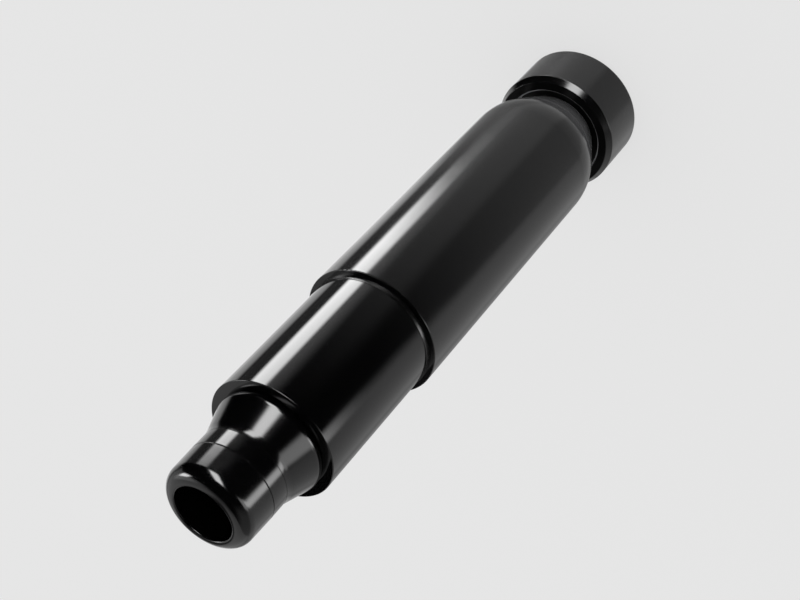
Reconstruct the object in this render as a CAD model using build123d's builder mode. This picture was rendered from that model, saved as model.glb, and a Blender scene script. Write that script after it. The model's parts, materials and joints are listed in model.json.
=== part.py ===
from build123d import *
from math import cos, radians, sin
import os

# Telescopic hydraulic cylinder: barrel, one sliding stage, plunger and a hollow swivelling saddle.
# It is single acting: oil pushes the stages out, and the load or their own weight brings them home.
# The axis is +Z, and the origin is the centre of the base cap's underside. Sizes are in mm.
# At rest the stage stands part way out of the barrel, and the plunger is home in the stage.

os.makedirs("parts", exist_ok=True)

# ---- Driving dimensions --------------------------------------------------------------------------

running_gap = 0.1        # radial, between pieces that move on each other
seal_gap = 0.07          # radial, between a soft ring and the rod that slides in it
thread_gap = 0.05        # radial, between pieces that are screwed together
seat_gap = 0.05          # axial, beside a ring that lies in a groove
edge_round = 0.5         # rounded edge on turned pieces
fine_chamfer = 0.4       # broken edge on small pieces
stop_gap = 0.5           # axial, left between two stops at the end of a stroke

# Travel from the rest position
stage_extend = 60.0
stage_retract = 112.0
plunger_extend = 165.0

# Base cap
cap_radius = 49.7
cap_height = 48.25
cap_face_radius = 46.55
cap_bevel_height = 5.1
cap_edge = 1.0
pocket_z = 24.0
recess_z = 41.0
recess_radius = 39.5
port_z = 13.0
port_radius = 7.6        # tapping size of G 3/8
port_depth = 14.0
port_face_radius = 11.0
port_face_depth = 2.0
port_drill_radius = 4.0
riser_radius = 5.0
bolt_circle = 70.0
bolt_radius = 4.25       # tapping size of M10
bolt_depth = 16.0
bolt_count = 4

# Barrel
barrel_radius = 50.0
barrel_bore = 47.2
mouth_z = 322.5
gland_length = 32.5
gland_seat_radius = 48.4
bore_floor_radius = 42.0
throat_z = 55.0
shoulder_z = 94.9
shoulder_round = 60.0
shoulder_angle = 24.8
neck_radius = 33.0
neck_bore = 28.0
neck_top_z = 47.7
neck_groove_z = 28.0
neck_groove_width = 3.6
neck_groove_radius = 30.8

# Barrel's gland, with its grooves from bottom to top
gland_groove_radius = 47.3
gland_guide_radius = 46.9
gland_guide_z = (293.0, 305.0)
gland_o_ring_z = (306.4, 308.6)
gland_o_ring_seat = 46.75
gland_seal_z = (310.0, 315.0)
gland_wiper_z = (317.0, 321.0)
gland_wiper_opening = 46.35

# Lock ring that jams the barrel's thread in the cap
lock_ring_inner = 33.1
lock_ring_outer = 39.3
lock_ring_top_z = 46.5
pin_hole_radius = 1.6
pin_hole_depth = 3.0

# Stage
stage_radius = 45.8
stage_bore = 40.8
stage_top_z = 439.25
stage_bottom_z = 205.0
stage_head_length = 35.25
stage_seat_radius = 44.0
stage_groove_radius = 42.8
stage_clip_radius = 46.4
stage_band_seat = 45.9

# Stage's gland
stage_guide_radius = 37.6
stage_gland_radius = 38.9
stage_guide_z = (408.0, 420.0)
stage_seal_z = (423.0, 429.0)
stage_wiper_z = (431.5, 436.0)
stage_wiper_opening = 36.65

# Plunger
plunger_radius = 36.0
plunger_bore = 30.0
plunger_bottom_z = 215.0
plunger_seat_radius = 34.5
plunger_groove_radius = 33.2
plunger_clip_radius = 38.0
plunger_band_seat = 39.4

# Bands, circlips and cross drillings, alike on both sliding tubes
band_margin = 4.5        # from a piston ring's end to the guide band in it
guide_split = 3.0        # degrees left open where a guide band's ends meet
wiper_lip_width = 0.15
circlip_rise = 2.0       # from the tube's end to the circlip's groove
circlip_groove = 2.5
circlip_opening = 30.0   # degrees left open
circlip_thick = 2.4
cross_hole_radius = 2.5
cross_hole_rise = 4.5    # from the piston ring's shoulder to the cross drillings

# Plunger head, with its flared skirt
head_gap = 0.3
head_skirt_angle = 17.5
head_top_round = 16.2
head_bottom_round = 6.85
head_bottom_turn = 34.0
head_pocket_radius = 27.0
head_floor_z = 446.0
head_floor_underside_z = 432.0
head_spigot_radius = plunger_bore - thread_gap
head_spigot_bore = 24.0
head_spigot_z = 420.0
head_groove_z = (424.0, 427.6)
head_groove_radius = 27.8
collar_thread_radius = 29.85
collar_thread_top_z = 474.0

# Collar and saddle
collar_radius = 32.0
collar_bottom_z = 468.7
collar_top_z = 482.4
collar_ledge_z = 477.7
saddle_top_z = 510.5
saddle_bottom_z = 449.5
saddle_bore = 21.05
saddle_shank_radius = 26.9
saddle_lip_radius = 31.65
saddle_groove_z = 475.0
saddle_groove_radius = 25.3
saddle_clip_radius = 29.5
saddle_edge = 1.0

# Bleed screw in the floor of the plunger head
bleed_radius = 3.4       # tapping size of M8
bleed_head_radius = 6.5
bleed_seat_radius = 7.5
bleed_seat_z = 441.5
bleed_washer_thick = 1.2
bleed_head_height = 4.0
bleed_shank_z = 434.0
hex_key = 5.0
hex_depth = 2.4

# Worked out from the sizes above
gland_bottom_z = mouth_z - gland_length
stage_stop_z = gland_bottom_z - stage_extend - stop_gap
stage_head_z = stage_top_z - stage_head_length
plunger_stop_z = stage_head_z - plunger_extend - stop_gap
head_bottom_z = stage_top_z + head_gap
bore_floor_z = stage_bottom_z - stage_retract - stop_gap
gland_bore = stage_radius + running_gap
gland_radius = gland_seat_radius - thread_gap
gland_ring_bore = stage_radius + seal_gap
gland_wiper_neck = gland_wiper_opening - seat_gap
gland_wiper_shoulder_z = mouth_z + 0.9
gland_wiper_lip_z = mouth_z + 4.15
stage_head_bore = plunger_radius + running_gap
stage_ring_bore = plunger_radius + seal_gap
stage_wiper_lip_z = stage_top_z - 0.3
stage_ring_z = stage_bottom_z + circlip_rise + circlip_groove
stage_ring_radius = barrel_bore - 2 * running_gap
stage_band_z = (stage_ring_z + band_margin, stage_stop_z - band_margin)
plunger_ring_z = plunger_bottom_z + circlip_rise + circlip_groove
plunger_ring_radius = stage_bore - 2 * running_gap
plunger_band_z = (plunger_ring_z + band_margin, plunger_stop_z - band_margin)
bleed_head_z = bleed_seat_z + bleed_washer_thick


def section(inner, outer, bottom, top, mode=Mode.ADD):
    """Rectangle between two radii and two heights, in the sketch that is open."""
    corners = ((inner, bottom), (outer, bottom), (outer, top), (inner, top))
    return Polygon(*corners, align=None, mode=mode)


def corner(radius, height):
    """Corner of the open sketch that lies nearest to a radius and a height."""
    return vertices().sort_by_distance((radius, height, 0))[0]


def lipped_section(inner, outer, bottom, top):
    """Section of a U-cup seal, with its open side down towards the oil."""
    middle = (inner + outer) / 2
    half_notch = 0.2 * (outer - inner)
    notch_depth = 0.35 * (top - bottom)
    corners = (
        (inner, bottom),
        (middle - half_notch, bottom),
        (middle, bottom + notch_depth),
        (middle + half_notch, bottom),
        (outer, bottom),
        (outer, top),
        (inner, top),
    )
    return Polygon(*corners, align=None)


# ---- Barrel: base cap, lock ring, tube and gland -------------------------------------------------

# Solid cap that the cylinder stands on. Its pocket takes the barrel's threaded neck.
with BuildPart() as base_cap:
    with BuildSketch(Plane.XZ):
        Polygon(
            (0, 0),
            (cap_radius - cap_edge, 0),
            (cap_radius, cap_edge),
            (cap_radius, cap_height - cap_bevel_height),
            (cap_face_radius, cap_height),
            (recess_radius, cap_height),
            (recess_radius, recess_z),
            (neck_radius + thread_gap, recess_z),
            (neck_radius + thread_gap, pocket_z),
            (0, pocket_z),
            align=None,
        )
        bevel_foot = corner(cap_radius, cap_height - cap_bevel_height)
        bevel_top = corner(cap_face_radius, cap_height)
        recess_rim = corner(recess_radius, cap_height)
        fillet((bevel_foot, bevel_top, recess_rim), edge_round)
    revolve(axis=Axis.Z)
    # Oil port in the back, with a flat face for the fitting's seal
    for hole_radius, hole_depth in (
        (port_face_radius, port_face_depth),
        (port_radius, port_face_depth + port_depth),
        (port_drill_radius, cap_radius),
    ):
        with BuildSketch(Plane.XZ.offset(-cap_radius)):
            with Locations((0, port_z)):
                Circle(hole_radius)
        extrude(amount=hole_depth, mode=Mode.SUBTRACT)
    # Riser from the port's drilling up into the pocket
    with BuildSketch(Plane.XY.offset(port_z)):
        Circle(riser_radius)
    extrude(amount=pocket_z - port_z, mode=Mode.SUBTRACT)
    # Threaded holes in the underside
    with BuildSketch(Plane.XY):
        with PolarLocations(bolt_circle / 2, bolt_count, start_angle=45):
            Circle(bolt_radius)
    extrude(amount=bolt_depth, mode=Mode.SUBTRACT)
base_cap.part.label = "base_cap"

# Ring nut with two blind holes for a pin spanner
with BuildPart() as lock_ring:
    with BuildSketch(Plane.XZ):
        section(lock_ring_inner, lock_ring_outer, recess_z, lock_ring_top_z)
        fillet(corner(lock_ring_outer, lock_ring_top_z), edge_round)
    revolve(axis=Axis.Z)
    with BuildSketch(Plane.XY.offset(lock_ring_top_z)):
        with PolarLocations((lock_ring_inner + lock_ring_outer) / 2, 2):
            Circle(pin_hole_radius)
    extrude(amount=-pin_hole_depth, mode=Mode.SUBTRACT)
lock_ring.part.label = "lock_ring"

# Tube that narrows by a long rounded shoulder and a cone to the threaded neck
with BuildPart() as barrel_tube:
    with BuildSketch(Plane.XZ):
        with BuildLine():
            wall = Line((barrel_radius, mouth_z), (barrel_radius, shoulder_z))
            shoulder = JernArc(wall @ 1, (0, -1), shoulder_round, -shoulder_angle)
            cone_drop = shoulder_z - shoulder_round * sin(radians(shoulder_angle)) - neck_top_z
            cone = PolarLine(
                shoulder @ 1,
                cone_drop / cos(radians(shoulder_angle)),
                direction=shoulder % 1,
            )
            Polyline(
                cone @ 1,
                (neck_radius, neck_top_z),
                (neck_radius, pocket_z),
                (neck_bore, pocket_z),
                (neck_bore, throat_z),
                (bore_floor_radius, bore_floor_z),
                (barrel_bore, bore_floor_z),
                (barrel_bore, gland_bottom_z),
                (gland_seat_radius, gland_bottom_z),
                (gland_seat_radius, mouth_z),
                wall @ 0,
            )
        make_face()
        section(
            neck_groove_radius,
            neck_radius,
            neck_groove_z,
            neck_groove_z + neck_groove_width,
            mode=Mode.SUBTRACT,
        )
        fillet(corner(barrel_radius, mouth_z), edge_round)
    revolve(axis=Axis.Z)
barrel_tube.part.label = "barrel_tube"

# Rubber ring in the neck's groove
base_o_ring_radius = (neck_radius + thread_gap - neck_groove_radius) / 2
with BuildPart() as base_o_ring:
    with BuildSketch(Plane.XZ):
        with Locations((
            neck_groove_radius + base_o_ring_radius,
            neck_groove_z + neck_groove_width / 2,
        )):
            Circle(base_o_ring_radius - seat_gap / 2)
    revolve(axis=Axis.Z)
base_o_ring.part.label = "base_o_ring"

# Screwed ring that closes the barrel's mouth round the stage
with BuildPart() as barrel_gland_ring:
    with BuildSketch(Plane.XZ):
        section(gland_bore, gland_radius, gland_bottom_z, mouth_z)
        section(gland_bore, gland_guide_radius, *gland_guide_z, mode=Mode.SUBTRACT)
        section(gland_o_ring_seat, gland_radius, *gland_o_ring_z, mode=Mode.SUBTRACT)
        section(gland_bore, gland_groove_radius, *gland_seal_z, mode=Mode.SUBTRACT)
        section(gland_bore, gland_groove_radius, *gland_wiper_z, mode=Mode.SUBTRACT)
        section(gland_bore, gland_wiper_opening, gland_wiper_z[1], mouth_z, mode=Mode.SUBTRACT)
    revolve(axis=Axis.Z)
barrel_gland_ring.part.label = "barrel_gland_ring"

gland_o_ring_radius = (gland_seat_radius - gland_o_ring_seat) / 2
with BuildPart() as barrel_gland_o_ring:
    with BuildSketch(Plane.XZ):
        with Locations((gland_o_ring_seat + gland_o_ring_radius, sum(gland_o_ring_z) / 2)):
            Circle(gland_o_ring_radius - seat_gap / 2)
    revolve(axis=Axis.Z)
barrel_gland_o_ring.part.label = "barrel_gland_o_ring"

with BuildPart() as barrel_guide_ring:
    with BuildSketch(Plane.XZ):
        section(
            gland_ring_bore,
            gland_guide_radius - seat_gap,
            gland_guide_z[0] + seat_gap,
            gland_guide_z[1] - seat_gap,
        )
    revolve(axis=Axis.Z, revolution_arc=360 - guide_split)
barrel_guide_ring.part.label = "barrel_guide_ring"

with BuildPart() as barrel_rod_seal:
    with BuildSketch(Plane.XZ):
        lipped_section(
            gland_ring_bore,
            gland_groove_radius - seat_gap,
            gland_seal_z[0] + seat_gap,
            gland_seal_z[1] - seat_gap,
        )
    revolve(axis=Axis.Z)
barrel_rod_seal.part.label = "barrel_rod_seal"

# Wiper whose lip stands out of the mouth and tapers onto the stage
with BuildPart() as barrel_wiper:
    with BuildSketch(Plane.XZ):
        Polygon(
            (gland_ring_bore, gland_wiper_z[0] + seat_gap),
            (gland_groove_radius - seat_gap, gland_wiper_z[0] + seat_gap),
            (gland_groove_radius - seat_gap, gland_wiper_z[1] - seat_gap),
            (gland_wiper_neck, gland_wiper_z[1] - seat_gap),
            (gland_wiper_neck, gland_wiper_shoulder_z),
            (gland_ring_bore + wiper_lip_width, gland_wiper_lip_z),
            (gland_ring_bore, gland_wiper_lip_z),
            align=None,
        )
    revolve(axis=Axis.Z)
barrel_wiper.part.label = "barrel_wiper"

# ---- Stage: tube with its gland bored in the upper end, and a piston ring -------------------------

with BuildPart() as stage_tube:
    with BuildSketch(Plane.XZ):
        section(stage_bore, stage_radius, stage_bottom_z, stage_top_z)
        section(stage_head_bore, stage_radius, stage_head_z, stage_top_z)
        # Seat and groove that hold the piston ring
        section(stage_seat_radius, stage_radius, stage_bottom_z, stage_stop_z, mode=Mode.SUBTRACT)
        section(
            stage_groove_radius,
            stage_seat_radius,
            stage_bottom_z + circlip_rise,
            stage_bottom_z + circlip_rise + circlip_groove,
            mode=Mode.SUBTRACT,
        )
        # Grooves for the guide, the seal and the wiper
        section(stage_head_bore, stage_guide_radius, *stage_guide_z, mode=Mode.SUBTRACT)
        section(stage_head_bore, stage_gland_radius, *stage_seal_z, mode=Mode.SUBTRACT)
        section(stage_head_bore, stage_gland_radius, *stage_wiper_z, mode=Mode.SUBTRACT)
        section(stage_head_bore, stage_wiper_opening, stage_wiper_z[1], stage_top_z, mode=Mode.SUBTRACT)
        fillet(corner(stage_radius, stage_top_z), edge_round)
    revolve(axis=Axis.Z)
    # Cross drillings that let oil into the space above the piston ring
    for plane in (Plane.XZ, Plane.YZ):
        with BuildSketch(plane):
            with Locations((0, stage_stop_z + cross_hole_rise)):
                Circle(cross_hole_radius)
        extrude(amount=barrel_radius, both=True, mode=Mode.SUBTRACT)
stage_tube.part.label = "stage_tube"

with BuildPart() as stage_guide_ring:
    with BuildSketch(Plane.XZ):
        section(
            stage_ring_bore,
            stage_guide_radius - seat_gap,
            stage_guide_z[0] + seat_gap,
            stage_guide_z[1] - seat_gap,
        )
    revolve(axis=Axis.Z, revolution_arc=360 - guide_split)
stage_guide_ring.part.label = "stage_guide_ring"

with BuildPart() as stage_rod_seal:
    with BuildSketch(Plane.XZ):
        lipped_section(
            stage_ring_bore,
            stage_gland_radius - seat_gap,
            stage_seal_z[0] + seat_gap,
            stage_seal_z[1] - seat_gap,
        )
    revolve(axis=Axis.Z)
stage_rod_seal.part.label = "stage_rod_seal"

# Wiper that ends below the stage's end face, so that the plunger's head can come down on it
with BuildPart() as stage_wiper:
    with BuildSketch(Plane.XZ):
        Polygon(
            (stage_ring_bore, stage_wiper_z[0] + seat_gap),
            (stage_gland_radius - seat_gap, stage_wiper_z[0] + seat_gap),
            (stage_gland_radius - seat_gap, stage_wiper_z[1] - seat_gap),
            (stage_wiper_opening - seat_gap, stage_wiper_z[1] - seat_gap),
            (stage_ring_bore + wiper_lip_width, stage_wiper_lip_z),
            (stage_ring_bore, stage_wiper_lip_z),
            align=None,
        )
    revolve(axis=Axis.Z)
stage_wiper.part.label = "stage_wiper"

# Piston ring that guides the stage's lower end in the barrel and meets the gland when it is out
with BuildPart() as stage_piston_ring:
    with BuildSketch(Plane.XZ):
        section(stage_seat_radius + thread_gap, stage_ring_radius, stage_ring_z, stage_stop_z)
        section(stage_band_seat, stage_ring_radius, *stage_band_z, mode=Mode.SUBTRACT)
    revolve(axis=Axis.Z)
stage_piston_ring.part.label = "stage_piston_ring"

with BuildPart() as stage_piston_guide:
    with BuildSketch(Plane.XZ):
        section(
            stage_band_seat + seat_gap,
            barrel_bore - running_gap,
            stage_band_z[0] + seat_gap,
            stage_band_z[1] - seat_gap,
        )
    revolve(axis=Axis.Z, revolution_arc=360 - guide_split)
stage_piston_guide.part.label = "stage_piston_guide"

with BuildPart() as stage_snap_ring:
    with BuildSketch(Plane.XZ):
        section(
            stage_groove_radius + seat_gap,
            stage_clip_radius,
            stage_bottom_z + circlip_rise + seat_gap,
            stage_bottom_z + circlip_rise + circlip_thick + seat_gap,
        )
    revolve(axis=Axis.Z, revolution_arc=360 - circlip_opening)
stage_snap_ring.part.label = "stage_snap_ring"

# ---- Plunger: tube, piston ring and the head that carries the saddle ------------------------------

with BuildPart() as plunger_tube:
    with BuildSketch(Plane.XZ):
        section(plunger_bore, plunger_radius, plunger_bottom_z, head_bottom_z)
        section(
            plunger_seat_radius,
            plunger_radius,
            plunger_bottom_z,
            plunger_stop_z,
            mode=Mode.SUBTRACT,
        )
        section(
            plunger_groove_radius,
            plunger_seat_radius,
            plunger_bottom_z + circlip_rise,
            plunger_bottom_z + circlip_rise + circlip_groove,
            mode=Mode.SUBTRACT,
        )
    revolve(axis=Axis.Z)
    for plane in (Plane.XZ, Plane.YZ):
        with BuildSketch(plane):
            with Locations((0, plunger_stop_z + cross_hole_rise)):
                Circle(cross_hole_radius)
        extrude(amount=barrel_radius, both=True, mode=Mode.SUBTRACT)
plunger_tube.part.label = "plunger_tube"

with BuildPart() as plunger_piston_ring:
    with BuildSketch(Plane.XZ):
        section(
            plunger_seat_radius + thread_gap,
            plunger_ring_radius,
            plunger_ring_z,
            plunger_stop_z,
        )
        section(plunger_band_seat, plunger_ring_radius, *plunger_band_z, mode=Mode.SUBTRACT)
    revolve(axis=Axis.Z)
plunger_piston_ring.part.label = "plunger_piston_ring"

with BuildPart() as plunger_piston_guide:
    with BuildSketch(Plane.XZ):
        section(
            plunger_band_seat + seat_gap,
            stage_bore - running_gap,
            plunger_band_z[0] + seat_gap,
            plunger_band_z[1] - seat_gap,
        )
    revolve(axis=Axis.Z, revolution_arc=360 - guide_split)
plunger_piston_guide.part.label = "plunger_piston_guide"

with BuildPart() as plunger_snap_ring:
    with BuildSketch(Plane.XZ):
        section(
            plunger_groove_radius + seat_gap,
            plunger_clip_radius,
            plunger_bottom_z + circlip_rise + seat_gap,
            plunger_bottom_z + circlip_rise + circlip_thick + seat_gap,
        )
    revolve(axis=Axis.Z, revolution_arc=360 - circlip_opening)
plunger_snap_ring.part.label = "plunger_snap_ring"

# Head: a flared skirt outside, a spigot down into the plunger and a pocket for the saddle
skirt_tilt = radians(head_skirt_angle)
rounds_drop = head_top_round * sin(skirt_tilt)
rounds_drop += head_bottom_round * (sin(skirt_tilt) + sin(radians(head_bottom_turn)))
skirt_length = (collar_bottom_z - head_bottom_z - rounds_drop) / cos(skirt_tilt)
with BuildPart() as plunger_head:
    with BuildSketch(Plane.XZ):
        with BuildLine():
            top_round = JernArc(
                (collar_radius, collar_bottom_z), (0, -1), head_top_round, head_skirt_angle
            )
            skirt = PolarLine(top_round @ 1, skirt_length, direction=top_round % 1)
            bottom_round = JernArc(
                skirt @ 1, skirt % 1, head_bottom_round, -head_skirt_angle - head_bottom_turn
            )
            Polyline(
                bottom_round @ 1,
                (head_spigot_radius, head_bottom_z),
                (head_spigot_radius, head_spigot_z),
                (head_spigot_bore, head_spigot_z),
                (head_spigot_bore, head_floor_underside_z),
                (0, head_floor_underside_z),
                (0, head_floor_z),
                (head_pocket_radius, head_floor_z),
                (head_pocket_radius, collar_thread_top_z),
                (collar_thread_radius, collar_thread_top_z),
                (collar_thread_radius, collar_bottom_z),
                top_round @ 0,
            )
        make_face()
        section(head_groove_radius, head_spigot_radius, *head_groove_z, mode=Mode.SUBTRACT)
    revolve(axis=Axis.Z)
    # Threaded bleed hole with a flat seat
    with BuildSketch(Plane.XY.offset(head_floor_z)):
        Circle(bleed_radius)
    extrude(amount=head_floor_underside_z - head_floor_z, mode=Mode.SUBTRACT)
    with BuildSketch(Plane.XY.offset(head_floor_z)):
        Circle(bleed_seat_radius)
    extrude(amount=bleed_seat_z - head_floor_z, mode=Mode.SUBTRACT)
plunger_head.part.label = "plunger_head"

head_o_ring_radius = (plunger_bore - head_groove_radius) / 2
with BuildPart() as head_o_ring:
    with BuildSketch(Plane.XZ):
        with Locations((head_groove_radius + head_o_ring_radius, sum(head_groove_z) / 2)):
            Circle(head_o_ring_radius - seat_gap / 2)
    revolve(axis=Axis.Z)
head_o_ring.part.label = "head_o_ring"

with BuildPart() as bleed_washer:
    with BuildSketch(Plane.XY.offset(bleed_seat_z)):
        Circle(bleed_seat_radius - thread_gap)
        Circle(bleed_radius + running_gap, mode=Mode.SUBTRACT)
    extrude(amount=bleed_washer_thick)
bleed_washer.part.label = "bleed_washer"

# Socket-head screw that lets trapped air out of the plunger
with BuildPart() as bleed_screw:
    with BuildSketch(Plane.XY.offset(bleed_shank_z)):
        Circle(bleed_radius - thread_gap)
    extrude(amount=bleed_head_z - bleed_shank_z)
    with BuildSketch(Plane.XY.offset(bleed_head_z)):
        Circle(bleed_head_radius)
    extrude(amount=bleed_head_height)
    chamfer(bleed_screw.edges().group_by(Axis.Z)[-1], fine_chamfer)
    with BuildSketch(Plane.XY.offset(bleed_head_z + bleed_head_height)):
        RegularPolygon(hex_key / 2, 6, major_radius=False)
    extrude(amount=-hex_depth, mode=Mode.SUBTRACT)
bleed_screw.part.label = "bleed_screw"

# Bronze washer that the saddle turns on
with BuildPart() as thrust_washer:
    with BuildSketch(Plane.XZ):
        section(
            saddle_bore + fine_chamfer,
            head_pocket_radius - running_gap,
            head_floor_z,
            saddle_bottom_z - running_gap,
        )
    revolve(axis=Axis.Z)
thrust_washer.part.label = "thrust_washer"

# Collar that screws onto the head and keeps the saddle's circlip in
with BuildPart() as collar_ring:
    with BuildSketch(Plane.XZ):
        section(saddle_shank_radius + running_gap, collar_radius, collar_bottom_z, collar_top_z)
        section(
            saddle_shank_radius + running_gap,
            collar_thread_radius + thread_gap,
            collar_bottom_z,
            collar_ledge_z,
            mode=Mode.SUBTRACT,
        )
        fillet(vertices().group_by(Axis.X)[-1], edge_round)
    revolve(axis=Axis.Z)
collar_ring.part.label = "collar_ring"

# ---- Saddle: hollow nose that turns in the head --------------------------------------------------

with BuildPart() as saddle:
    with BuildSketch(Plane.XZ):
        with BuildLine():
            bore_edge = JernArc(
                (saddle_bore, saddle_top_z - saddle_edge), (0, 1), saddle_edge, -90
            )
            lip_round = saddle_lip_radius - saddle_bore - saddle_edge
            lip = JernArc(bore_edge @ 1, (1, 0), lip_round, -90)
            Polyline(
                lip @ 1,
                (collar_radius, collar_top_z + running_gap),
                (saddle_shank_radius, collar_top_z + running_gap),
                (saddle_shank_radius, saddle_bottom_z),
                (saddle_bore, saddle_bottom_z),
                bore_edge @ 0,
            )
        make_face()
        fillet(corner(collar_radius, collar_top_z + running_gap), edge_round)
        section(
            saddle_groove_radius,
            saddle_shank_radius,
            saddle_groove_z,
            saddle_groove_z + circlip_groove,
            mode=Mode.SUBTRACT,
        )
    revolve(axis=Axis.Z)
saddle.part.label = "saddle"

with BuildPart() as saddle_snap_ring:
    with BuildSketch(Plane.XZ):
        section(
            saddle_groove_radius + seat_gap,
            saddle_clip_radius,
            saddle_groove_z + seat_gap,
            saddle_groove_z + circlip_thick + seat_gap,
        )
    revolve(axis=Axis.Z, revolution_arc=360 - circlip_opening)
saddle_snap_ring.part.label = "saddle_snap_ring"

# ---- One file for each piece ---------------------------------------------------------------------

pieces = (
    base_cap,
    lock_ring,
    barrel_tube,
    base_o_ring,
    barrel_gland_ring,
    barrel_gland_o_ring,
    barrel_guide_ring,
    barrel_rod_seal,
    barrel_wiper,
    stage_tube,
    stage_guide_ring,
    stage_rod_seal,
    stage_wiper,
    stage_piston_ring,
    stage_piston_guide,
    stage_snap_ring,
    plunger_tube,
    plunger_piston_ring,
    plunger_piston_guide,
    plunger_snap_ring,
    plunger_head,
    head_o_ring,
    bleed_washer,
    bleed_screw,
    thrust_washer,
    collar_ring,
    saddle,
    saddle_snap_ring,
)
for piece in pieces:
    export_step(piece.part, f"parts/{piece.part.label}.step")
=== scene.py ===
"""Looks of the telescopic hydraulic cylinder: materials, thread ridges, studio and camera."""

import json
import math
from collections import namedtuple

import bmesh
import bpy
from mathutils import Matrix, Vector

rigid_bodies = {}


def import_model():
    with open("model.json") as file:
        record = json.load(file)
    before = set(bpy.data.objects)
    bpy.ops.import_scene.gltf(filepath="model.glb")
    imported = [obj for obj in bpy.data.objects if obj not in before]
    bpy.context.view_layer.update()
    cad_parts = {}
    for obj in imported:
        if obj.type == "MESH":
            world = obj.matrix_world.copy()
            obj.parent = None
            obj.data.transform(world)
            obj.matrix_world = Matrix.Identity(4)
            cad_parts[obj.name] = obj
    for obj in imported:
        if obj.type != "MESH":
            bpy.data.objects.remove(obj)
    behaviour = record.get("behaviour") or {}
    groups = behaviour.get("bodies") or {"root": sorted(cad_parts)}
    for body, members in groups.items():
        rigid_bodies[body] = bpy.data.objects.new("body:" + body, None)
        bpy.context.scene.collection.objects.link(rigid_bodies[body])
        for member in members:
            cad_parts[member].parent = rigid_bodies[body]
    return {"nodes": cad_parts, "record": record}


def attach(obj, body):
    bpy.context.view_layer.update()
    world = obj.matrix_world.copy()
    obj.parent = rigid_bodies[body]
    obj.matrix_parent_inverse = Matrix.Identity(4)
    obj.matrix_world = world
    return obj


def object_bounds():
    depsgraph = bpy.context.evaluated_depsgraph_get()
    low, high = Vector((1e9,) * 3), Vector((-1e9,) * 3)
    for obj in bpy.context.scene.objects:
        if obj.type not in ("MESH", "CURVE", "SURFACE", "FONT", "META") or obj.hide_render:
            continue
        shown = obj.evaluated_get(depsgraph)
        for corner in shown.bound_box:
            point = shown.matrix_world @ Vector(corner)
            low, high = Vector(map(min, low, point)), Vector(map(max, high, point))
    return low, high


for thing in list(bpy.data.objects):
    bpy.data.objects.remove(thing)

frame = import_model()
nodes = frame["nodes"]
cad_low, cad_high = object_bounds()

scene = bpy.context.scene
scene.view_settings.view_transform = "Standard"
scene.view_settings.look = "None"

# ---- Camera --------------------------------------------------------------------------------------

AIM_HEIGHT = 0.2837        # point on the cylinder's axis in the middle of the picture
CAMERA_DISTANCE = 1.0117
CAMERA_ELEVATION = 40.77   # degrees above the horizon, from the side of -Y
CAMERA_ROLL = -137.35      # degrees round the line of sight: the nose points down to the left
CAMERA_LENS = 66.06        # mm
CAMERA_SENSOR = 36.0       # mm
CAMERA_CLIP = (0.01, 100.0)


def make_camera():
    """Camera that looks along +Y and down, rolled so that the nose comes towards it."""
    data = bpy.data.cameras.new("camera")
    data.sensor_width = CAMERA_SENSOR
    data.lens = CAMERA_LENS
    data.clip_start, data.clip_end = CAMERA_CLIP
    camera = bpy.data.objects.new("camera", data)
    scene.collection.objects.link(camera)
    turn = Matrix.Rotation(math.radians(90 - CAMERA_ELEVATION), 4, "X")
    roll = Matrix.Rotation(math.radians(CAMERA_ROLL), 4, "Z")
    back = Matrix.Translation((0, 0, CAMERA_DISTANCE))
    aim = Matrix.Translation((0, 0, AIM_HEIGHT))
    camera.matrix_world = aim @ turn @ back @ roll
    scene.camera = camera


# ---- Node helpers --------------------------------------------------------------------------------

# Sockets of a colour Mix node, whose names are shared with its other data types
MIX_CLEAR, MIX_FULL, MIX_RESULT = 6, 7, 2


class Graph:
    """A node tree, with short calls that add a node and link what feeds it."""

    def __init__(self, tree):
        self.tree = tree
        tree.nodes.clear()

    def feed(self, socket, value):
        """Gives a socket its value: a number, a colour or another node's output."""
        if isinstance(value, bpy.types.NodeSocket):
            self.tree.links.new(value, socket)
        else:
            socket.default_value = value

    def add(self, kind, **sockets):
        """New node of a kind, with its named sockets fed. An underscore stands for a space."""
        node = self.tree.nodes.new("ShaderNode" + kind)
        for name, value in sockets.items():
            self.feed(node.inputs[name.replace("_", " ")], value)
        return node

    def math(self, operation, *values):
        """Output of a Math node."""
        node = self.add("Math")
        node.operation = operation
        for socket, value in zip(node.inputs, values):
            self.feed(socket, value)
        return node.outputs[0]

    def ramp(self, value, start, end, low=0.0, high=1.0, smooth=True):
        """value mapped from start..end to low..high, and held outside."""
        node = self.add(
            "MapRange", Value=value, From_Min=start, From_Max=end, To_Min=low, To_Max=high
        )
        node.interpolation_type = "SMOOTHSTEP" if smooth else "LINEAR"
        return node.outputs["Result"]

    def mix(self, share, clear, full):
        """Colour that goes from clear to full as share goes from 0 to 1."""
        node = self.add("Mix")
        node.data_type = "RGBA"
        self.feed(node.inputs["Factor"], share)
        self.feed(node.inputs[MIX_CLEAR], clear)
        self.feed(node.inputs[MIX_FULL], full)
        return node.outputs[MIX_RESULT]

    def combine(self, kind, first, second, **sockets):
        """Shader made of two others by a Mix Shader or an Add Shader node."""
        node = self.add(kind, **sockets)
        for socket, shader in zip(list(node.inputs)[-2:], (first, second)):
            self.feed(socket, shader.outputs[0])
        return node


# ---- Studio --------------------------------------------------------------------------------------

PALE = 0.79                # brightness of the floor and of what lies behind it
FLOOR_GLOW = 0.82          # share of the floor's brightness that a shadow can't take away
FLOOR_SIZE = 60.0
FLOOR_DROP = 0.0002        # m from the object's underside down to the floor
WHITE = (1, 1, 1, 1)

Softbox = namedtuple("Softbox", "azimuth elevation half_width half_height power edge end drift")

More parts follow.
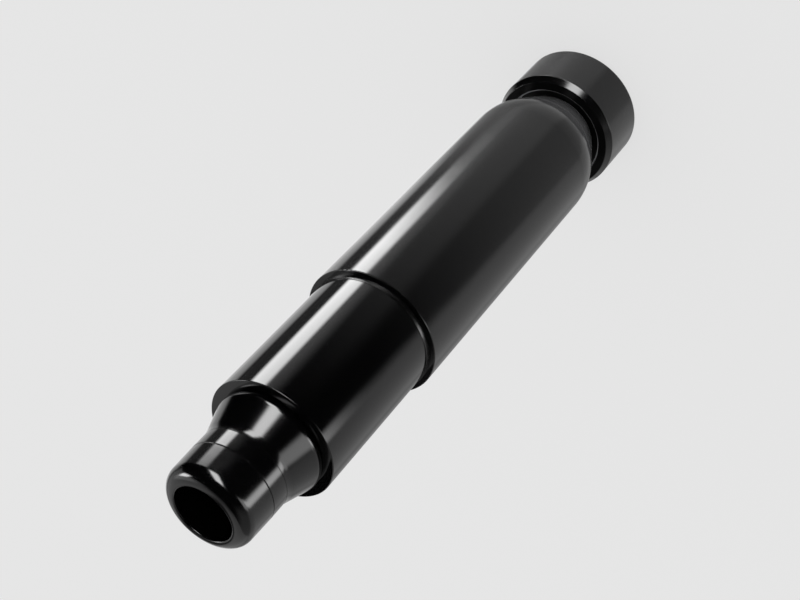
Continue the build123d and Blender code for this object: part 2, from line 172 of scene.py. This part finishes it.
# Softboxes and walls round the object, seen as reflections in its paint. Azimuth and elevation of
# the middle, half width and half height, softness of the sides (edge) and of the top and bottom
# (end) are in degrees. drift is how far the middle moves in azimuth for each degree of elevation.
SOFTBOXES = (
    # Key strip down the barrel and the stage, and the glow beside it
    Softbox(-8.3, -37.3, 13.4, 7.0, 11.0, 9, 4, -0.45),
    Softbox(-26, -41, 14, 8, 0.9, 28, 10, -0.3),
    Softbox(18, -38, 12, 10, 0.13, 6, 8, 0.0),
    # Key strip on the head's skirt, and a small box over the saddle's lip
    Softbox(-60, -1, 11, 21, 13.0, 8, 8, -0.6),
    Softbox(25, 33.5, 9, 8.5, 13.0, 8, 6, -0.5),
    # Counter strip, wider and fainter in its upper half
    Softbox(-146, -24, 9, 10.5, 6.5, 12, 5, 0.6),
    Softbox(-139, -5.5, 14, 9, 3.0, 12, 4, 0.6),
    # Side wall, brighter towards its foot
    Softbox(63.7, -26, 28.2, 20.3, 0.95, 12, 8, 0.0),
    Softbox(63.7, -42.4, 28.2, 3.9, 1.1, 12, 7, 0.0),
    Softbox(76, -47.5, 14, 5, 0.85, 18, 6, 0.0),
    # Walls behind: grey to one side, pale to the other, with a bright band low between them
    Softbox(168, -38, 40, 42, 0.6, 26, 24, 0.0),
    Softbox(165, 20, 45, 30, 0.33, 40, 30, 0.0),
    Softbox(112, -34, 22, 48, 0.38, 16, 20, 0.0),
    Softbox(110, -27, 22, 7, 0.6, 16, 10, 0.0),
    Softbox(55, 35, 33, 35, 0.66, 3.5, 20, 0.0),
    Softbox(40, 38, 16, 22, 1.4, 20, 20, 0.0),
    Softbox(122, 30, 24, 35, 0.66, 6, 20, 0.0),
    Softbox(90, 62, 40, 14, 0.38, 20, 20, 0.0),
    Softbox(97, -12, 9, 11, 1.4, 14, 14, 0.0),
    # Glow from below
    Softbox(-90, -90, 150, 45.8, 0.44, 20, 11.5, 0.0),
    Softbox(-40, -90, 50, 47.5, 0.67, 40, 16, 0.0),
    Softbox(90, -90, 70, 40, 0.12, 20, 10, 0.0),
)


def softbox(graph, azimuth, elevation, box):
    """Brightness of one softbox in the direction that azimuth and elevation give, in radians."""
    middle, height = math.radians(box.azimuth), math.radians(box.elevation)
    half_width, half_height = math.radians(box.half_width), math.radians(box.half_height)
    edge, end = math.radians(box.edge) / 2, math.radians(box.end) / 2
    rise = graph.math("SUBTRACT", elevation, height)
    shifted = graph.math("SUBTRACT", azimuth, graph.math("MULTIPLY_ADD", rise, box.drift, middle))
    across = graph.math("ABSOLUTE", graph.math("WRAP", shifted, math.pi, -math.pi))
    along = graph.math("ABSOLUTE", rise)
    inside_width = graph.ramp(across, half_width + edge, half_width - edge)
    inside_height = graph.ramp(along, half_height + end, half_height - end)
    return graph.math("MULTIPLY", graph.math("MULTIPLY", inside_width, inside_height), box.power)


def make_world():
    """Even white light for the floor, a pale background, and softboxes that the gloss reflects."""
    world = bpy.data.worlds.new("studio")
    scene.world = world
    world.use_nodes = True
    world.cycles.sampling_method = "NONE"
    graph = Graph(world.node_tree)
    direction = graph.add("TexCoord").outputs["Generated"]
    axes = graph.add("SeparateXYZ", Vector=direction)
    azimuth = graph.math("ARCTAN2", axes.outputs["Y"], axes.outputs["X"])
    elevation = graph.math("ARCSINE", axes.outputs["Z"])
    glow = softbox(graph, azimuth, elevation, SOFTBOXES[0])
    for box in SOFTBOXES[1:]:
        glow = graph.math("MAXIMUM", glow, softbox(graph, azimuth, elevation, box))
    reflected = graph.add("Background", Color=WHITE, Strength=glow)
    even = graph.add("Background", Color=WHITE, Strength=1.0)
    backdrop = graph.add("Background", Color=WHITE, Strength=PALE)
    rays = graph.add("LightPath").outputs
    seen = graph.combine("MixShader", even, backdrop, Fac=rays["Is Camera Ray"])
    both = graph.combine("MixShader", seen, reflected, Fac=rays["Is Glossy Ray"])
    graph.add("OutputWorld", Surface=both.outputs[0])


def make_floor():
    """Wide pale floor with only a faint shadow. The gloss doesn't reflect it."""
    half = FLOOR_SIZE / 2
    mesh = bpy.data.meshes.new("floor")
    corners = [(-half, -half, 0), (half, -half, 0), (half, half, 0), (-half, half, 0)]
    mesh.from_pydata(corners, [], [(0, 1, 2, 3)])
    floor = bpy.data.objects.new("floor", mesh)
    scene.collection.objects.link(floor)
    floor.location.z = cad_low.z - FLOOR_DROP
    floor.visible_glossy = False
    material = bpy.data.materials.new("floor")
    material.use_nodes = True
    graph = Graph(material.node_tree)
    grey = PALE * (1 - FLOOR_GLOW)
    glow = graph.add("Emission", Strength=PALE * FLOOR_GLOW)
    matte = graph.add("BsdfDiffuse", Color=(grey, grey, grey, 1))
    both = graph.combine("AddShader", glow, matte)
    graph.add("OutputMaterial", Surface=both.outputs[0])
    mesh.materials.append(material)


# ---- Materials -----------------------------------------------------------------------------------

REFRACTION = 1.5

# Noise textures, in turns per metre and octaves
MARKS_SCALE, MARKS_DETAIL, MARKS_ROUGHNESS = 22.0, 5.0, 0.62
MARKS_RANGE = (0.3, 0.7)   # part of the noise that the roughness follows
TONE_SCALE, TONE_DETAIL = 9.0, 3.0
PEEL_SCALE, PEEL_DETAIL = 650.0, 2.0
LINES_SCALE, LINES_DETAIL = 2600.0, 3.0

TONE_SPREAD = 0.2          # how far the colour drifts to either side, as a share of it

# colour, metallic and roughness as in the shader. spread is how far the roughness wanders, peel is
# the depth of the paint's orange peel in metres, and lines is the depth of the lathe's fine rings
# round the axis in metres. specular is the shader's specular level.
Finish = namedtuple(
    "Finish", "colour metallic roughness spread peel lines specular", defaults=(0.5,)
)

# One finish for each of the record's material slots, and one for the lock ring
FINISHES = {
    "barrel_paint": Finish((0.0014, 0.0014, 0.0015), 0.0, 0.13, 0.02, 1.2e-6, 0.0),
    "stage_black": Finish((0.0010, 0.0010, 0.0011), 0.0, 0.10, 0.02, 0.6e-6, 0.3e-6),
    "gloss_black": Finish((0.0010, 0.0010, 0.0011), 0.0, 0.14, 0.02, 0.8e-6, 0.0),
    "ring_black": Finish((0.0008, 0.0008, 0.0008), 0.0, 0.45, 0.04, 0.8e-6, 0.0, 0.12),
    "collar_black": Finish((0.0010, 0.0010, 0.0011), 0.0, 0.13, 0.03, 0.5e-6, 0.6e-6),
    "cap_paint": Finish((0.0020, 0.0020, 0.0021), 0.0, 0.15, 0.03, 1.2e-6, 0.0),
    "plunger_chrome": Finish((0.60, 0.61, 0.63), 1.0, 0.09, 0.02, 0.0, 0.8e-6),
    "turned_steel": Finish((0.45, 0.45, 0.46), 1.0, 0.28, 0.05, 0.0, 4.0e-6),
    "spring_steel": Finish((0.05, 0.05, 0.055), 0.6, 0.35, 0.06, 0.0, 1.0e-6),
    "bronze": Finish((0.52, 0.34, 0.15), 1.0, 0.30, 0.06, 0.0, 4.0e-6),
    "copper": Finish((0.72, 0.36, 0.22), 1.0, 0.32, 0.06, 0.0, 2.0e-6),
    "seal_rubber": Finish((0.002, 0.002, 0.002), 0.0, 0.24, 0.05, 3.0e-6, 0.0),
    "seal_polyurethane": Finish((0.03, 0.08, 0.22), 0.0, 0.35, 0.05, 2.0e-6, 0.0),
    "guide_band": Finish((0.20, 0.11, 0.05), 0.0, 0.55, 0.06, 6.0e-6, 0.0),
}

# Nodes with a finish of their own instead of their slot's
NODE_FINISHES = {"lock_ring": "ring_black"}

# Band in which a finish changes to another colour; each band here paints light into the colour,
# as a painted reflection or a painted highlight. It is measured along the "height" or the "radius",
# from where it is clear to where it is full, and there is nothing below a height. In metres.
Band = namedtuple("Band", "along clear full above colour")

PAINTED_LIGHT_BANDS = {
    # Foot of the barrel, above the cap, painted greyer: a painted reflection of the glow from
    # below, which the cap keeps from reaching the gloss
    "barrel_paint": (Band("height", 0.085, 0.069, 0, (0.075, 0.075, 0.077, 1)),),
    # Rims of the cap's recess and of the lock ring, painted light grey: painted highlights of their
    # edges
    "cap_paint": (Band("radius", 0.0401, 0.0398, 0.0477, (0.24, 0.24, 0.25, 1)),),
    "ring_black": (
        Band("radius", 0.0385, 0.0388, 0, (0.42, 0.42, 0.43, 1)),
        Band("radius", 0.0336, 0.0333, 0, (0.42, 0.42, 0.43, 1)),
    ),
}

# The cap's upper face, inside its bevel, is blackened and has hardly any gloss. Radii in metres.
CAP_GLOSS_RADIUS = 0.0465
CAP_DULL_RADIUS = 0.0460
DULL_SPECULAR = 0.08


def noise(graph, place, scale, detail, **sockets):
    """Noise texture's value from 0 to 1 at a place."""
    node = graph.add("TexNoise", Vector=place, Scale=scale, Detail=detail, **sockets)
    return node.outputs["Fac"]


def finish_material(name, finish):
    """Painted, ground or moulded surface."""
    material = bpy.data.materials.new(name)
    material.use_nodes = True
    graph = Graph(material.node_tree)
    place = graph.add("TexCoord").outputs["Object"]
    shader = graph.add(
        "BsdfPrincipled",
        Metallic=finish.metallic,
        IOR=REFRACTION,
        Specular_IOR_Level=finish.specular,
    )
    graph.add("OutputMaterial", Surface=shader.outputs[0])

    # Height up the axis, and distance from it
    axes = graph.add("SeparateXYZ", Vector=place).outputs
    squares = graph.math("MULTIPLY", axes["X"], axes["X"])
    squares = graph.math("MULTIPLY_ADD", axes["Y"], axes["Y"], squares)
    measures = {"height": axes["Z"], "radius": graph.math("SQRT", squares)}

    # Roughness: broad handling marks, with finer flecks in them
    marks = noise(graph, place, MARKS_SCALE, MARKS_DETAIL, Roughness=MARKS_ROUGHNESS)
    smoothest, roughest = finish.roughness - finish.spread, finish.roughness + finish.spread
    wear = graph.ramp(marks, *MARKS_RANGE, smoothest, roughest, smooth=False)
    graph.feed(shader.inputs["Roughness"], wear)

    # Colour: a slow drift in tone, then the bands of painted reflection and painted highlights
    darker = tuple((1 - TONE_SPREAD) * part for part in finish.colour)
    lighter = tuple((1 + TONE_SPREAD) * part for part in finish.colour)
    tone = noise(graph, place, TONE_SCALE, TONE_DETAIL)
    colour = graph.mix(tone, (*darker, 1), (*lighter, 1))
    for band in PAINTED_LIGHT_BANDS.get(name, ()):
        share = graph.ramp(measures[band.along], band.clear, band.full)
        above = graph.math("GREATER_THAN", measures["height"], band.above)
        colour = graph.mix(graph.math("MULTIPLY", share, above), colour, band.colour)
    graph.feed(shader.inputs["Base Color"], colour)

    # Gloss
    if name == "cap_paint":
        gloss = graph.ramp(
            measures["radius"], CAP_DULL_RADIUS, CAP_GLOSS_RADIUS, DULL_SPECULAR, finish.specular
        )
        graph.feed(shader.inputs["Specular IOR Level"], gloss)

    # Relief: orange peel, then rings round the axis
    ripple = noise(graph, place, PEEL_SCALE, PEEL_DETAIL)
    peel = graph.add("Bump", Strength=1.0, Distance=finish.peel, Height=ripple).outputs[0]
    station = graph.add("CombineXYZ", X=measures["radius"], Y=measures["height"]).outputs[0]
    rings = noise(graph, station, LINES_SCALE, LINES_DETAIL)
    turned = graph.add("Bump", Strength=1.0, Distance=finish.lines, Height=rings, Normal=peel)
    graph.feed(shader.inputs["Normal"], turned.outputs[0])
    return material


def dress_nodes():
    """Each CAD node gets its slot's material, or its own. Returns the materials by name."""
    materials = {name: finish_material(name, finish) for name, finish in FINISHES.items()}
    for part in frame["record"]["subparts"]:
        finish = NODE_FINISHES.get(part["node"], part["material_slot"])
        for place in nodes[part["node"]].material_slots:
            place.material = materials[finish]
    return materials


# ---- Threads -------------------------------------------------------------------------------------

MM = 0.001

# Tapped hole: radius, middle of the mouth, direction inwards, length of thread and pitch, in mm
Tapping = namedtuple("Tapping", "radius mouth inwards length pitch")

PORT_TAPPING = Tapping(7.6, (0, 47.7, 13.0), (0, -1, 0), 12.6, 1.337)
BASE_TAPPING = Tapping(4.25, (35.0, 0, 0), (0, 0, 1), 14.0, 1.5)
BASE_HOLE_ANGLES = (45, 135, 225, 315)     # degrees from +X

THREAD_LEAD = 0.8          # mm of plain hole before the thread starts
THREAD_DEPTH = 0.5         # height of the ridge, as a share of the pitch
THREAD_ROOT = 0.08         # mm by which the ridge's foot lies inside the hole's wall
THREAD_STEPS = 48          # points to a turn
THREAD_RUN_OUT = 0.5       # turns over which either end of the ridge dies away
THREAD_END = 0.02          # share of the height that is left at the ends

# Ridge's section: place along the hole in pitches, and share of the height
THREAD_PROFILE = ((-0.42, 0.0), (-0.08, 1.0), (0.08, 1.0), (0.42, 0.0))


def thread_ridge(name, tapping, material):
    """Ridge that winds round inside a tapped hole of the base cap, with a flat crest."""
    inwards = Vector(tapping.inwards)
    side = inwards.orthogonal().normalized()
    up = inwards.cross(side)
    mouth = Vector(tapping.mouth)
    turns = tapping.length / tapping.pitch
    count = round(turns * THREAD_STEPS)
    foot = tapping.radius + THREAD_ROOT
    ridge = bmesh.new()
    rings = []
    for step in range(count + 1):
        turn = step / THREAD_STEPS
        height = min(1.0, THREAD_END + min(turn, turns - turn) / THREAD_RUN_OUT)
        outward = side * math.cos(math.tau * turn) + up * math.sin(math.tau * turn)
        ring = []
        for along, crest in THREAD_PROFILE:
            depth = THREAD_LEAD + tapping.pitch * (turn + along)
            reach = foot - crest * height * THREAD_DEPTH * tapping.pitch
            ring.append(ridge.verts.new((mouth + depth * inwards + reach * outward) * MM))
        rings.append(ring)
    for before, after in zip(rings, rings[1:]):
        for corner in range(len(THREAD_PROFILE)):
            other = (corner + 1) % len(THREAD_PROFILE)
            ridge.faces.new((before[corner], before[other], after[other], after[corner]))
    ridge.faces.new(rings[0][::-1])
    ridge.faces.new(rings[-1])
    bmesh.ops.recalc_face_normals(ridge, faces=ridge.faces)
    mesh = bpy.data.meshes.new(name)
    ridge.to_mesh(mesh)
    ridge.free()
    mesh.materials.append(material)
    thread = bpy.data.objects.new(name, mesh)
    scene.collection.objects.link(thread)
    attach(thread, "barrel")


def cut_threads(material):
    """Threads of the oil port and of the four holes in the base cap's underside."""
    thread_ridge("port_thread", PORT_TAPPING, material)
    for number, degrees in enumerate(BASE_HOLE_ANGLES, start=1):
        turn = Matrix.Rotation(math.radians(degrees), 3, "Z")
        tapping = BASE_TAPPING._replace(mouth=turn @ Vector(BASE_TAPPING.mouth))
        thread_ridge(f"base_thread_{number}", tapping, material)


make_camera()
make_world()
make_floor()
finishes = dress_nodes()
cut_threads(finishes["turned_steel"])
